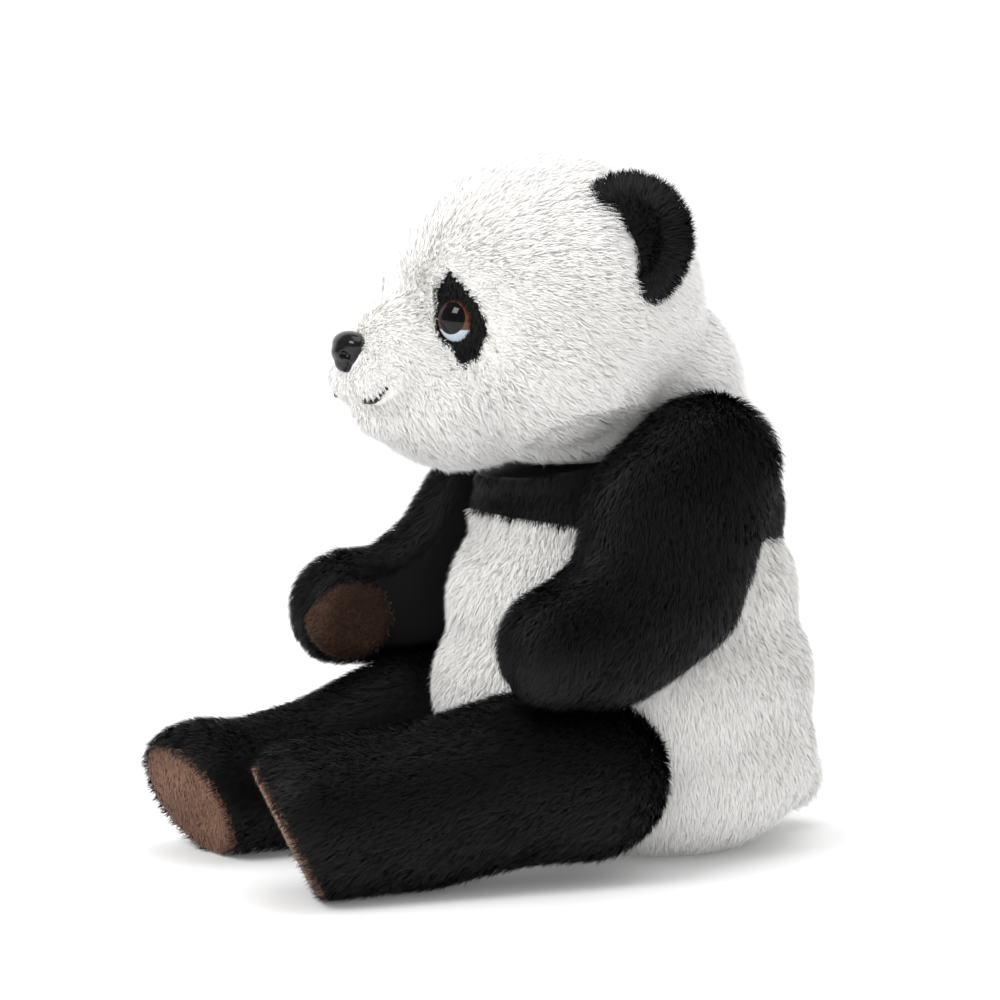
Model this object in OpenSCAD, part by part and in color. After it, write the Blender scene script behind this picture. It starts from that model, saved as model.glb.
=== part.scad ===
// Seated plush panda: fur-fabric covers over polyester stuffing, with sewn-on limbs that swing.
// The animal looks along -Y, its left side is +X, and the origin is the centre of the flat seat.

/* [Body] */
// Radius of the belly at its widest
belly_r = 78; // [74:1:80]
// Height of the widest part of the belly
belly_z = 58; // [54:1:62]
// Radius of the flat seat
seat_r = 50; // [44:1:54]
// Thickness of a fur cover, pile and knitted backing together
cover_t = 7; // [5:0.5:8]
// Height of the seam between the black yoke and the white belly
yoke_z = 133; // [128:1:138]

/* [Head] */
// Half width of the head
head_rx = 68; // [66:1:70]
// Half length of the head without its muzzle
head_ry = 61; // [59:1:63]
// Half height of the head
head_rz = 62; // [60:1:64]
// Diameter of a plastic eye
eye_d = 16; // [14:0.5:17]
// Width of the plastic nose
nose_w = 22; // [20:1:26]

/* [Limbs] */
// Radius of an arm at the shoulder
shoulder_r = 32; // [31:1:35]
// Radius of a paw at the end of an arm
paw_r = 24; // [21:1:25]
// How much further forward the right paw reaches than the left one
right_reach = 23; // [0:1:26]
// Radius of a leg
leg_r = 31; // [28:1:32]
// Length of a leg from its hip axis to the sole
leg_len = 134; // [125:1:138]
// Angle by which the left leg turns in towards the middle
left_toe_in = 7; // [0:1:9]

/* [Hidden] */

gap = 0.3;              // clearance between soft pieces
fine = 64;              // segments of a round, exact surface
soft = 24;              // segments of a hulled, soft shape
big = 400;              // larger than the whole animal

// torso
chest_taper = 30;       // how much narrower the neckline is than the belly
chest_top = 186;        // height where the full taper is reached
chest_bend = 3;         // power of the taper: a high one keeps the chest full
yoke_tilt = 6.4;        // the yoke's seam drops towards the back by this angle
neck_z = 166;           // neck seam above the origin
neck_tilt = 11.4;       // neck seam rises towards the back
side_x = 52;            // flat where the arm lies, at side_z
side_z = 150;
side_tilt = 5;          // lean of that flat
keel_x = 16;            // half width of the belly between the legs
pellet_r = 30;          // bag of plastic beads in the seat
tail_r = 13;

// head
head_y = -30;
head_z = 218;
neck_r = 54;
muzzle_at = [0, -92, 196];
muzzle_size = [31, 33, 26];
eye_at = [29, -86, 220];
eye_turn = 23;          // an eye looks this far to the side
eye_dome = 5;           // height of the eye's dome
eye_sink = 3;           // depth of the eye in the pile
patch_size = [13, 22];
patch_lean = 20;
shank_r = 1.8;
shank_len = 17;
washer_r = 8;
washer_t = 1.5;
nose_at = [0, -117, 206.5];
nose_pitch = 22;        // the nose looks up by this angle
ear_at = [51, -22, 247];
ear_r = 27;
ear_t = 9;
ear_lean = [-8, 32, 34];
mouth_r = 30;           // bend radius of the stitched smile
mouth_half = 47;        // half angle of the smile
thread_r = 0.9;
hollow_r = 39;          // hollow under each cheek that clears the shoulder
hollow_h = 40;
hollow_half = 64;

// arms: centres and radii in the shoulder's own frame, x pointing outwards
arm_at = [side_x, 3, 154];
arm_places = [[13, 0, 0], [14, -10, -22], [14, -18, -46], [16, -68, -61]];
arm_sizes = [[23, shoulder_r, shoulder_r], [22, 36, 31], [21, 31, 30], [19, paw_r, paw_r]];
arm_reach = [0, 0.2, 0.7, 1]; // share of the right arm's extra reach at each place
palm_r = 16;
palm_t = 4;
palm_shift = [0, 1, -1];

// legs
hip = [55, -45, leg_r + 1.5];
foot_size = [31, 20, 33];
hip_down = 35;          // the legs can swing down by this angle
sole_tilt = 24;         // the sole looks down by this angle
sole_t = 5;
sole_r = 27;

function torso_points(inset) = concat(
    [[0, inset]],
    [for (t = [0:15:90]) [
        seat_r - inset / 2 + (belly_r - seat_r - inset / 2) * sin(t),
        inset + (belly_z - inset) * (1 - cos(t))]],
    [for (s = [0.125:0.125:1]) [
        belly_r - inset - chest_taper * pow(s, chest_bend),
        belly_z + (chest_top - belly_z) * s]],
    [[0, chest_top]]);

function arm_place(side, k) = arm_places[k] - [0, side < 0 ? right_reach * arm_reach[k] : 0, 0];

module for_side(side) { mirror([side < 0 ? 1 : 0, 0, 0]) children(); }

module neck_frame() { translate([0, 0, neck_z]) rotate([neck_tilt, 0, 0]) children(); }

module arm_frame(side) {
    for_side(side) translate(arm_at) rotate([0, -side_tilt, 0]) children();
}

module leg_frame(side) {
    for_side(side) translate(hip) rotate([0, 0, side > 0 ? -left_toe_in : 0]) children();
}

module eye_frame(side) {
    for_side(side) translate(eye_at) rotate([90, 0, eye_turn]) children();
}

module nose_frame() { translate(nose_at) rotate([90 - nose_pitch, 0, 0]) children(); }

module lump(size, n = soft) { scale(size) sphere(r = 1, $fn = n); }

// A soft, rounded form that stands alone: hull() keeps it a plain faceted skin
module ellipsoid(size) { hull() lump(size, soft + 8); }

// ---- torso ----

module side_flats(inset) {
    for (side = [1, -1]) for_side(side)
        translate([side_x - inset, 0, side_z]) rotate([0, -side_tilt, 0])
            translate([0, -big / 2, -big / 2]) cube([big, big, big]);
}

// Room for a leg to turn about its hip: its round end, and all that it sweeps in front
module leg_room(extra) {
    r = leg_r + 3 + extra;
    for (side = [1, -1]) for_side(side)
        translate([keel_x - extra, hip[1], hip[2]]) rotate([90, 0, 90]) {
            cylinder(r = r, h = big / 2, $fn = fine);
            linear_extrude(height = big / 2)
                polygon([[0, 0.96 * r], [-big / 2, 0.96 * r], [-big / 2, -big / 4],
                    [r * sin(hip_down), -big / 4], [r * sin(hip_down), -r * cos(hip_down)]]);
        }
}

module above_neck(lower) {
    neck_frame() translate([-big / 2, -big / 2, -lower]) cube([big, big, big]);
}

module above_yoke(lower) {
    translate([0, 0, yoke_z]) rotate([-yoke_tilt, 0, 0])
        translate([-big / 2, -big / 2, lower]) cube([big, big, big]);
}

module torso_body(inset) {
    difference() {
        rotate_extrude($fn = fine) polygon(torso_points(inset));
        side_flats(inset);
        leg_room(inset);
        above_neck(gap);
    }
}

module torso_shell() {
    difference() {
        torso_body(0);
        torso_body(cover_t);
    }
}

module torso_cover() {
    color("white") difference() {
        torso_shell();
        above_yoke(0);
    }
}

module shoulder_yoke() {
    color([0.05, 0.05, 0.06]) intersection() {
        torso_shell();
        above_yoke(gap / 3);
    }
}

module pellet_shape(extra) {
    translate([0, 32, cover_t + pellet_r / 2 + 2]) scale([1.2, 1, 0.5]) sphere(r = pellet_r + extra, $fn = fine);
}

module torso_stuffing() {
    color("whitesmoke") difference() {
        torso_body(cover_t + gap);
        pellet_shape(gap);
    }
}

module pellet_bag() { color("tan") pellet_shape(0); }

module tail() {
    color("white") difference() {
        translate([0, belly_r + 3, tail_r + 14]) ellipsoid([tail_r, tail_r, tail_r]);
        cylinder(r = belly_r + gap, h = big, center = true, $fn = fine);
    }
}

// ---- head ----

module skull(inset) {
    translate([0, head_y, head_z]) lump([head_rx - inset, head_ry - inset, head_rz - inset], soft + 8);
}

module cheek_hollows(extra) {
    neck_frame() for (turn = [0, 180])
        rotate([0, 0, turn - hollow_half]) rotate_extrude(angle = 2 * hollow_half, $fn = fine)
            polygon([[hollow_r - extra, -gap], [big, -gap], [big, hollow_h + extra],
                [hollow_r - extra, hollow_h + extra]]);
}

module head_shape(inset) {
    difference() {
        hull() {
            skull(inset);
            neck_frame() translate([0, 2, gap]) cylinder(r = neck_r - inset, h = 1, $fn = soft + 8);
        }
        neck_frame() translate([-big / 2, -big / 2, gap - big]) cube([big, big, big]);
        cheek_hollows(inset);
    }
}

module muzzle(inset) {
    translate(muzzle_at) ellipsoid([for (s = muzzle_size) s - inset]);
}

module shank_hole(r = shank_r + gap / 4) {
    translate([0, 0, -shank_len - 1]) cylinder(r = r, h = shank_len + 1, $fn = fine);
}

module eye_pocket() {
    translate([0, 0, -eye_sink - gap / 3]) cylinder(d = eye_d + gap, h = 20, $fn = fine);
    shank_hole();
}

module patch_tool(extra) {
    rotate([0, 0, -patch_lean]) scale([patch_size[0] + extra, patch_size[1] + extra, 1])
        translate([0, 0, -12]) cylinder(r = 1, h = 30, $fn = fine);
}

module head_cover() {
    color("white") difference() {
        head_shape(0);
        head_shape(cover_t);
        muzzle(cover_t - 1);
        for (side = [1, -1]) eye_frame(side) patch_tool(gap / 3);
    }
}

module muzzle_cover() {
    color("white") difference() {
        muzzle(0);
        muzzle(cover_t - 1);
        hull() skull(-gap);
        nose_frame() {
            hull() nose_dome(gap, soft);
            shank_hole();
        }
    }
}

module head_stuffing() {
    color("whitesmoke") difference() {
        head_shape(cover_t + gap);
        for (side = [1, -1]) eye_frame(side) {
            shank_hole();
            translate([0, 0, -eye_sink - cover_t - 3]) cylinder(r = washer_r + gap, h = 5, $fn = fine);
        }
    }
}

module eye_patch(side) {
    color([0.04, 0.04, 0.05]) intersection() {
        difference() {
            head_shape(0);
            head_shape(cover_t);
            muzzle(-gap);
        }
        eye_frame(side) difference() {
            patch_tool(0);
            eye_pocket();
        }
    }
}

module eye(side) {
    ball = (pow(eye_d / 2, 2) + pow(eye_dome, 2)) / (2 * eye_dome);
    color([0.25, 0.12, 0.06]) eye_frame(side) {
        translate([0, 0, -eye_sink]) intersection() {
            translate([0, 0, eye_dome - ball]) sphere(r = ball, $fn = fine);
            cylinder(d = eye_d, h = eye_dome + 1, $fn = fine);
        }
        translate([0, 0, -shank_len]) cylinder(r = shank_r, h = shank_len - eye_sink + 1, $fn = fine);
    }
}

module washer(depth) {
    translate([0, 0, -depth]) difference() {
        cylinder(r = washer_r, h = washer_t, $fn = fine);
        translate([0, 0, -1]) cylinder(r = shank_r + gap / 10, h = washer_t + 2, $fn = fine);
    }
}

module eye_washer(side) {
    color("ivory") eye_frame(side) washer(eye_sink + cover_t + 2);
}

module nose_dome(extra, n = fine) {
    intersection() {
        scale([nose_w / 2, nose_w / 3, 8] + [extra, extra, extra]) sphere(r = 1, $fn = n);
        translate([-big / 2, -big / 2, -2 - extra]) cube([big, big, big]);
    }
}

module nose() {
    color([0.02, 0.02, 0.02]) nose_frame() {
        nose_dome(0);
        translate([0, 0, -shank_len]) cylinder(r = shank_r, h = shank_len, $fn = fine);
    }
}

module nose_washer() { color("ivory") nose_frame() washer(shank_len - 3); }

// The smile is one bent thread through the middle of the mouth and both corners
module mouth_thread() {
    color([0.05, 0.04, 0.04]) translate([0, -102.5, 210]) rotate([51, 0, 0])
        rotate([0, 0, -90 - mouth_half]) rotate_extrude(angle = 2 * mouth_half, $fn = fine)
            translate([mouth_r, 0]) circle(r = thread_r, $fn = 16);
}

module ear(side) {
    color([0.04, 0.04, 0.05]) difference() {
        for_side(side) translate(ear_at) rotate(ear_lean) ellipsoid([ear_r, ear_t, ear_r]);
        hull() skull(-gap);
    }
}

// ---- arms ----

module arm_shape(side, inset) {
    intersection() {
        union() for (i = [0, 1, 2]) hull() for (k = [i, i + 1])
            translate(arm_place(side, k)) lump([for (s = arm_sizes[k]) s - inset]);
        translate([gap + inset, -big / 2, -big / 2]) cube([big, big, big]);
    }
}

module palm_tool(side, extra) {
    translate([gap - extra, arm_place(side, 3)[1] + palm_shift[1], arm_place(side, 3)[2] + palm_shift[2]])
        rotate([0, 90, 0]) cylinder(r = palm_r + extra, h = palm_t + 2 * extra, $fn = fine);
}

module arm_cover(side) {
    color([0.05, 0.05, 0.06]) arm_frame(side) difference() {
        arm_shape(side, 0);
        arm_shape(side, cover_t);
        palm_tool(side, gap / 3);
    }
}

module arm_stuffing(side) { color("whitesmoke") arm_frame(side) arm_shape(side, cover_t + gap); }

module palm_pad(side) { color([0.3, 0.18, 0.1]) arm_frame(side) palm_tool(side, 0); }

// ---- legs ----

module sole_frame() {
    translate([0, -leg_len + 11, 0]) rotate([90 + sole_tilt, 0, 0]) children();
}

module leg_shape(inset) {
    difference() {
        hull() {
            lump([leg_r, leg_r, leg_r] - [inset, inset, inset]);
            translate([0, -leg_len + foot_size[1], foot_size[2] - leg_r])
                lump([for (s = foot_size) s - inset]);
        }
        sole_frame() translate([-big / 2, -big / 2, -inset]) cube([big, big, big]);
        translate([-big / 2, -big / 2, -hip[2] - big + inset / 2]) cube([big, big, big]);
    }
}

module sole_tool(extra) {
    sole_frame() scale([1, 1.08, 1]) translate([0, 0, -sole_t - extra])
        cylinder(r = sole_r + extra, h = sole_t + 2 * extra, $fn = fine);
}

module leg_cover(side) {
    color([0.05, 0.05, 0.06]) leg_frame(side) difference() {
        leg_shape(0);
        leg_shape(cover_t);
        sole_tool(gap / 3);
    }
}

module leg_stuffing(side) { color("whitesmoke") leg_frame(side) leg_shape(cover_t + gap); }

module sole_pad(side) {
    color([0.55, 0.38, 0.28]) leg_frame(side) intersection() {
        sole_tool(0);
        leg_shape(0);
    }
}

torso_cover();
shoulder_yoke();
torso_stuffing();
pellet_bag();
tail();
head_cover();
muzzle_cover();
head_stuffing();
ear(1);  // left_ear
ear(-1);  // right_ear
eye_patch(1);  // left_eye_patch
eye_patch(-1);  // right_eye_patch
eye(1);  // left_eye
eye(-1);  // right_eye
eye_washer(1);  // left_eye_washer
eye_washer(-1);  // right_eye_washer
nose();
nose_washer();
mouth_thread();
arm_cover(1);  // left_arm_cover
arm_stuffing(1);  // left_arm_stuffing
palm_pad(1);  // left_palm_pad
arm_cover(-1);  // right_arm_cover
arm_stuffing(-1);  // right_arm_stuffing
palm_pad(-1);  // right_palm_pad
leg_cover(1);  // left_leg_cover
leg_stuffing(1);  // left_leg_stuffing
sole_pad(1);  // left_sole_pad
leg_cover(-1);  // right_leg_cover
leg_stuffing(-1);  // right_leg_stuffing
sole_pad(-1);  // right_sole_pad
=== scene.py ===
# %% [markdown]
# # A seated plush panda
# A plush toy is a set of sewn fur covers pulled tight over loose filling. The CAD model holds the plain
# closed forms of those covers, and the places where the head and limbs turn. In this lesson each cover is
# shaped again as a soft, rounded skin, and then thousands of real strands of pile are planted on it.

# %% Load the frame
import math

import bpy
import numpy as np
from mathutils import Euler, Matrix, Vector


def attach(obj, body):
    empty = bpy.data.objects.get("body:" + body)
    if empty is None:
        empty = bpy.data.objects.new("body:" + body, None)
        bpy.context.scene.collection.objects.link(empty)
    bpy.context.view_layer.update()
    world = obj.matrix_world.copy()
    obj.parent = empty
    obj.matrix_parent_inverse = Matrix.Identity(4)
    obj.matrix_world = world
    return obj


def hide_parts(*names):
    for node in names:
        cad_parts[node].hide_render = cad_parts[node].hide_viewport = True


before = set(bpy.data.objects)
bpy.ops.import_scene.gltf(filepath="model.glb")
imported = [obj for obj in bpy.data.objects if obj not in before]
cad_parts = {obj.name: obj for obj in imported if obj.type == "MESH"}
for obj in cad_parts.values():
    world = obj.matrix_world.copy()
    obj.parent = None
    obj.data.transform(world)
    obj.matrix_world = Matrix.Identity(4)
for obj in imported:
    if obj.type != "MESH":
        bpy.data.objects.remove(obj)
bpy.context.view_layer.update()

MM = 0.001


def place(x, y, z):
    """A point given in millimetres, as Blender metres."""
    return Vector((x, y, z)) * MM


def deselect():
    bpy.ops.object.select_all(action="DESELECT")


def pick(*objects):
    """Selects only these objects, and makes the first one active."""
    deselect()
    for thing in objects:
        thing.select_set(True)
    bpy.context.view_layer.objects.active = objects[0]


def fix_transform():
    """Writes the place, turn and size of the selected objects into their meshes."""
    bpy.ops.object.transform_apply(location=True, rotation=True, scale=True)


def on_side(point, sign):
    """A point of the left side, or for sign -1 its mirror image on the right."""
    return (sign * point[0], point[1], point[2])


def set_inputs(node, values):
    """Sets the named inputs of a shader node."""
    for name, value in values.items():
        node.inputs[name].default_value = value


def open_with(piece, kind, chosen):
    """Opens a piece for editing with only the chosen edges (EDGE) or faces (FACE) selected."""
    pick(piece)
    bpy.ops.object.mode_set(mode="EDIT")
    bpy.ops.mesh.select_mode(type=kind)
    bpy.ops.mesh.select_all(action="DESELECT")
    bpy.ops.object.mode_set(mode="OBJECT")
    items = piece.data.edges if kind == "EDGE" else piece.data.polygons
    items.foreach_set("select", chosen)
    bpy.ops.object.mode_set(mode="EDIT")


# %% [markdown]
# ## The camera
# The camera stands at the panda's left front, a little above it, and far away with a long lens, so that the
# near and far limbs keep almost the same size. Its place is worked out from two angles and a distance.

# %% Place the camera
VIEW_SIDE = math.radians(64)
VIEW_UP = math.radians(7)
VIEW_FAR = 1.6
LENS_LONG = 144
SENSOR_WIDE = 36
LOOK_AT = place(0, -52, 144)

view_back = Vector((math.sin(VIEW_SIDE) * math.cos(VIEW_UP),
                    -math.cos(VIEW_SIDE) * math.cos(VIEW_UP), math.sin(VIEW_UP)))
lens = bpy.data.cameras.new("studio_lens")
lens.lens = LENS_LONG
lens.sensor_width = SENSOR_WIDE
camera = bpy.data.objects.new("studio_camera", lens)
bpy.context.scene.collection.objects.link(camera)
camera.location = LOOK_AT + view_back * VIEW_FAR
camera.rotation_euler = (-view_back).to_track_quat("-Z", "Y").to_euler()
bpy.context.scene.camera = camera
bpy.context.scene.view_settings.view_transform = "Standard"
print("Camera at", [round(v, 3) for v in camera.location])

# %% [markdown]
# ## The studio
# A sweep of pale paper has a floor that curves up into the backdrop, so no horizon shows. It is a plane whose
# back edge is extruded upwards and whose fold is bevelled round. It is wide and its wall stands far back, so
# that it does not block a camera that looks from behind. It also glows faintly, which keeps the paper white
# where little light falls on it.

# %% Build the paper sweep
def plain_material(name, colour, roughness):
    """A material with one colour and one roughness, set on the shader's own sockets."""
    material = bpy.data.materials.new(name)
    material.use_nodes = True
    shader = material.node_tree.nodes["Principled BSDF"]
    shader.inputs["Base Color"].default_value = (*colour, 1)
    shader.inputs["Roughness"].default_value = roughness
    return material, material.node_tree, shader


PAPER_DROP = 0.0005
PAPER_GLOW = 0.1
EDGE_SLACK = 0.01
SWEEP_NEAR = 1.6
SWEEP_FAR = -2.7
SWEEP_RISE = 3.2
SWEEP_WIDE = 9.0
SWEEP_FOLD = 0.7

deselect()
bpy.ops.mesh.primitive_plane_add(size=1, location=(0, 0, 0))
paper = bpy.context.active_object
paper.name = "paper_sweep"
paper.scale = (SWEEP_WIDE, SWEEP_NEAR - SWEEP_FAR, 1)
paper.location = (0, -(SWEEP_NEAR + SWEEP_FAR) / 2, -PAPER_DROP)
fix_transform()
back_edges = [min(paper.data.vertices[k].co.y for k in edge.vertices) > -SWEEP_FAR - EDGE_SLACK
              for edge in paper.data.edges]
open_with(paper, "EDGE", back_edges)
bpy.ops.mesh.extrude_region_move(TRANSFORM_OT_translate={"value": (0, 0, SWEEP_RISE)})
bpy.ops.mesh.select_all(action="SELECT")
bpy.ops.mesh.normals_make_consistent(inside=False)
bpy.ops.object.mode_set(mode="OBJECT")
fold = paper.modifiers.new("fold", "BEVEL")
fold.width = SWEEP_FOLD
fold.segments = 24
fold.limit_method = "ANGLE"
bpy.ops.object.modifier_apply(modifier="fold")
paper.rotation_euler = (0, 0, VIEW_SIDE)
fix_transform()
bpy.ops.object.shade_smooth()
pale_paper, _, paper_shader = plain_material("pale_paper", (0.9, 0.9, 0.9), 0.9)
set_inputs(paper_shader, {"Emission Color": (1, 1, 1, 1), "Emission Strength": PAPER_GLOW})
paper.data.materials.append(pale_paper)
print("The sweep has", len(paper.data.polygons), "faces")

# %% [markdown]
# ## Air and lamps
# The world is plain white and fills every shadow. For glossy rays alone it is dimmed, because a shiny eye
# that mirrors a white room looks grey. The key light is a large soft panel at the camera's left, so the
# shadow falls to the right, and a second panel hangs overhead.

# %% Light the studio
world = bpy.data.worlds.new("studio_air")
bpy.context.scene.world = world
world.use_nodes = True
AIR_LIGHT = 0.9
AIR_IN_REFLECTIONS = 0.15
air = world.node_tree.nodes["Background"]
set_inputs(air, {"Color": (1, 1, 1, 1)})
ray_kind = world.node_tree.nodes.new("ShaderNodeLightPath")
air_strength = world.node_tree.nodes.new("ShaderNodeMapRange")
set_inputs(air_strength, {"To Min": AIR_LIGHT, "To Max": AIR_IN_REFLECTIONS})
world.node_tree.links.new(ray_kind.outputs["Is Glossy Ray"], air_strength.inputs["Value"])
world.node_tree.links.new(air_strength.outputs["Result"], air.inputs["Strength"])


def panel(name, where, aim, size, power):
    """A square soft light that faces a point."""
    data = bpy.data.lights.new(name, "AREA")
    data.shape = "SQUARE"
    data.size = size
    data.energy = power
    lamp = bpy.data.objects.new(name, data)
    bpy.context.scene.collection.objects.link(lamp)
    lamp.location = where
    lamp.rotation_euler = (aim - where).to_track_quat("-Z", "Y").to_euler()
    return lamp


view_right = Vector((math.cos(VIEW_SIDE), math.sin(VIEW_SIDE), 0))
middle = place(0, -40, 130)
key_spot = middle + view_back * 0.9 - view_right * 0.9 + Vector((0, 0, 1.1))
top_spot = middle + Vector((0, 0, 1.5)) + view_right * 0.2
key_light = panel("key_light", key_spot, middle, size=0.7, power=15)
top_light = panel("top_light", top_spot, middle, size=1.2, power=9)
print("Lamps:", key_light.name, top_light.name)

# %% [markdown]
# ## Fur colours
# Real pile is not one flat colour: neighbouring tufts differ slightly in tone. Each strand is also painted
# darker at its root, as painted shade where light does not reach down between the strands. Every strand
# carries a small map: across it runs the strand's own tone, and along it runs root to tip. One shared node
# group turns that map into a colour, and each material gives it its own root shade, tip and tint colours.

# %% The pile colour group
def colour_socket(group, name, default):
    socket = group.interface.new_socket(name=name, in_out="INPUT", socket_type="NodeSocketColor")
    socket.default_value = (*default, 1)


pile_group = bpy.data.node_groups.new("pile_colour", "ShaderNodeTree")
pile_group.interface.new_socket(name="Strand Map", in_out="INPUT", socket_type="NodeSocketVector")
colour_socket(pile_group, "Root", (0.1, 0.1, 0.1))
colour_socket(pile_group, "Tip", (0.9, 0.9, 0.9))
colour_socket(pile_group, "Tint", (0.8, 0.7, 0.6))
pile_group.interface.new_socket(name="Color", in_out="OUTPUT", socket_type="NodeSocketColor")
pile_nodes = pile_group.nodes
pile_links = pile_group.links
pile_in = pile_nodes.new("NodeGroupInput")
pile_out = pile_nodes.new("NodeGroupOutput")
split = pile_nodes.new("ShaderNodeSeparateXYZ")
pile_links.new(pile_in.outputs["Strand Map"], split.inputs[0])


def mix_colours(tree, factor, first, second):
    mixer = tree.nodes.new("ShaderNodeMix")
    mixer.data_type = "RGBA"
    tree.links.new(factor, mixer.inputs["Factor"])
    tree.links.new(first, mixer.inputs["A"])
    tree.links.new(second, mixer.inputs["B"])
    return mixer.outputs["Result"]


tinted = mix_colours(pile_group, split.outputs["X"], pile_in.outputs["Tint"], pile_in.outputs["Tip"])
along = pile_nodes.new("ShaderNodeMapRange")
along.interpolation_type = "SMOOTHSTEP"
set_inputs(along, {"From Min": 0.0, "From Max": 0.75})
pile_links.new(split.outputs["Y"], along.inputs["Value"])
# Towards the root each strand is painted darker: this is painted shade between the strands.
shaded = mix_colours(pile_group, along.outputs["Result"], pile_in.outputs["Root"], tinted)
pile_links.new(shaded, pile_out.inputs["Color"])

STRAND_MAP = "OFBake"


def fur_material(name, root, tip, tint, roughness, sheen):
    """A pile with a tip colour, a darker root colour that is painted shade, and a tint that some tufts take.
    """
    material, tree, shader = plain_material(name, tip, roughness)
    set_inputs(shader, {"Sheen Weight": sheen, "Sheen Roughness": 0.5, "Specular IOR Level": 0.25})
    strand_map = tree.nodes.new("ShaderNodeUVMap")
    strand_map.uv_map = STRAND_MAP
    colour = tree.nodes.new("ShaderNodeGroup")
    colour.node_tree = pile_group
    tree.links.new(strand_map.outputs["UV"], colour.inputs["Strand Map"])
    set_inputs(colour, {"Root": (*root, 1), "Tip": (*tip, 1), "Tint": (*tint, 1)})
    tree.links.new(colour.outputs["Color"], shader.inputs["Base Color"])
    return material


# The first colour of each pile is its root, painted darker as shade; then come its tip and its tint.
white_fur = fur_material("white_pile", (0.92, 0.90, 0.87), (0.97, 0.965, 0.95), (0.955, 0.945, 0.925),
                         roughness=0.8, sheen=0.3)
black_fur = fur_material("black_pile", (0.0025, 0.0025, 0.0025), (0.0075, 0.0068, 0.007),
                         (0.0045, 0.004, 0.0042), roughness=0.55, sheen=0.0)
brown_fur = fur_material("brown_pile", (0.10, 0.045, 0.025), (0.33, 0.17, 0.105), (0.2, 0.1, 0.06),
                         roughness=0.65, sheen=0.1)
palm_fur = fur_material("palm_pile", (0.03, 0.013, 0.007), (0.10, 0.05, 0.028), (0.06, 0.03, 0.018),
                        roughness=0.65, sheen=0.1)
print("Fur materials:", white_fur.name, black_fur.name, brown_fur.name, palm_fur.name)

# %% [markdown]
# ## Soft forms
# A stuffed cover has no edges: the filling pushes every part outwards and the seams blend together. To get
# there, rounded lumps are placed where the filling is and joined. A voxel remesh wraps one skin round them,
# and that skin is smoothed until the lumps flow into each other.

# %% Helpers for lumps and skins
def lump(centre, radii, turn=(0, 0, 0)):
    """One rounded lump of filling: centre and radii in millimetres, turn in degrees."""
    deselect()
    bpy.ops.mesh.primitive_uv_sphere_add(segments=32, ring_count=20, radius=1, location=place(*centre))
    ball = bpy.context.active_object
    ball.scale = place(*radii)
    ball.rotation_euler = Euler([math.radians(v) for v in turn])
    fix_transform()
    return ball


def add_modifier(piece, kind, **settings):
    """Adds one modifier, sets it, and applies it."""
    pick(piece)
    modifier = piece.modifiers.new(kind.lower(), kind)
    for key, value in settings.items():
        setattr(modifier, key, value)
    bpy.ops.object.modifier_apply(modifier=modifier.name)


def soften(skin, voxel, factor=0.5, rounds=3):
    """Wraps a skin again with a voxel size in millimetres, and smooths it."""
    add_modifier(skin, "REMESH", mode="VOXEL", voxel_size=voxel * MM)
    add_modifier(skin, "SMOOTH", factor=factor, iterations=rounds)
    bpy.ops.object.shade_smooth()


def wrap(name, lumps, voxel, rounds):
    """Joins lumps and wraps one smooth skin round them."""
    pick(*lumps)
    bpy.ops.object.join()
    skin = bpy.context.active_object
    skin.name = name
    skin.data.name = name
    soften(skin, voxel, factor=0.6, rounds=rounds)
    print(name, "has", len(skin.data.polygons), "faces")
    return skin


def vectors_of(items, key):
    """One vector of every item, such as its place (co) or its normal, as the rows of an array."""
    values = np.empty(len(items) * 3, np.float32)
    items.foreach_get(key, values)
    return values.reshape(-1, 3)


def unit(vectors):
    return vectors / np.maximum(np.linalg.norm(vectors, axis=1, keepdims=True), 1e-9)


# %% [markdown]
# ## Planting the pile
# Each strand is one thin tapered blade of two faces: it leaves the skin, bends over with the nap of the
# fabric, and ends in a point. Blades are planted evenly over the skin's area. A slow wave field pulls
# neighbouring tips together, which makes the small tufts that long pile falls into. The shading direction of
# a blade is mostly the skin's own, because round fibres scatter light softly in all directions.

# %% The strand maker
WAVES = 7
FUR_SHARE = 1.0
PILE_FULLNESS = 1.18
TONE_SIZE = 26
BLADE_POINTS = 5
BLADE_CORNERS = 7
BLADE_FACES = 2


def wave_pull(points, size, seed):
    """Slope and height of a field of slow waves with about this size, in metres."""
    rng = np.random.default_rng(seed)
    ways = unit(rng.normal(size=(WAVES, 3))) * (2 * math.pi / size) * rng.uniform(0.6, 1.4, (WAVES, 1))
    phase = points @ ways.T + rng.uniform(0, 2 * math.pi, WAVES)
    slope = np.cos(phase) @ (ways * size / (2 * math.pi)) / math.sqrt(WAVES)
    height = np.sin(phase).sum(axis=1) / math.sqrt(WAVES)
    return slope, height


def along_skin(vectors, normals):
    """The part of each vector that lies in the skin."""
    return vectors - normals * (vectors * normals).sum(axis=1, keepdims=True)


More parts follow.
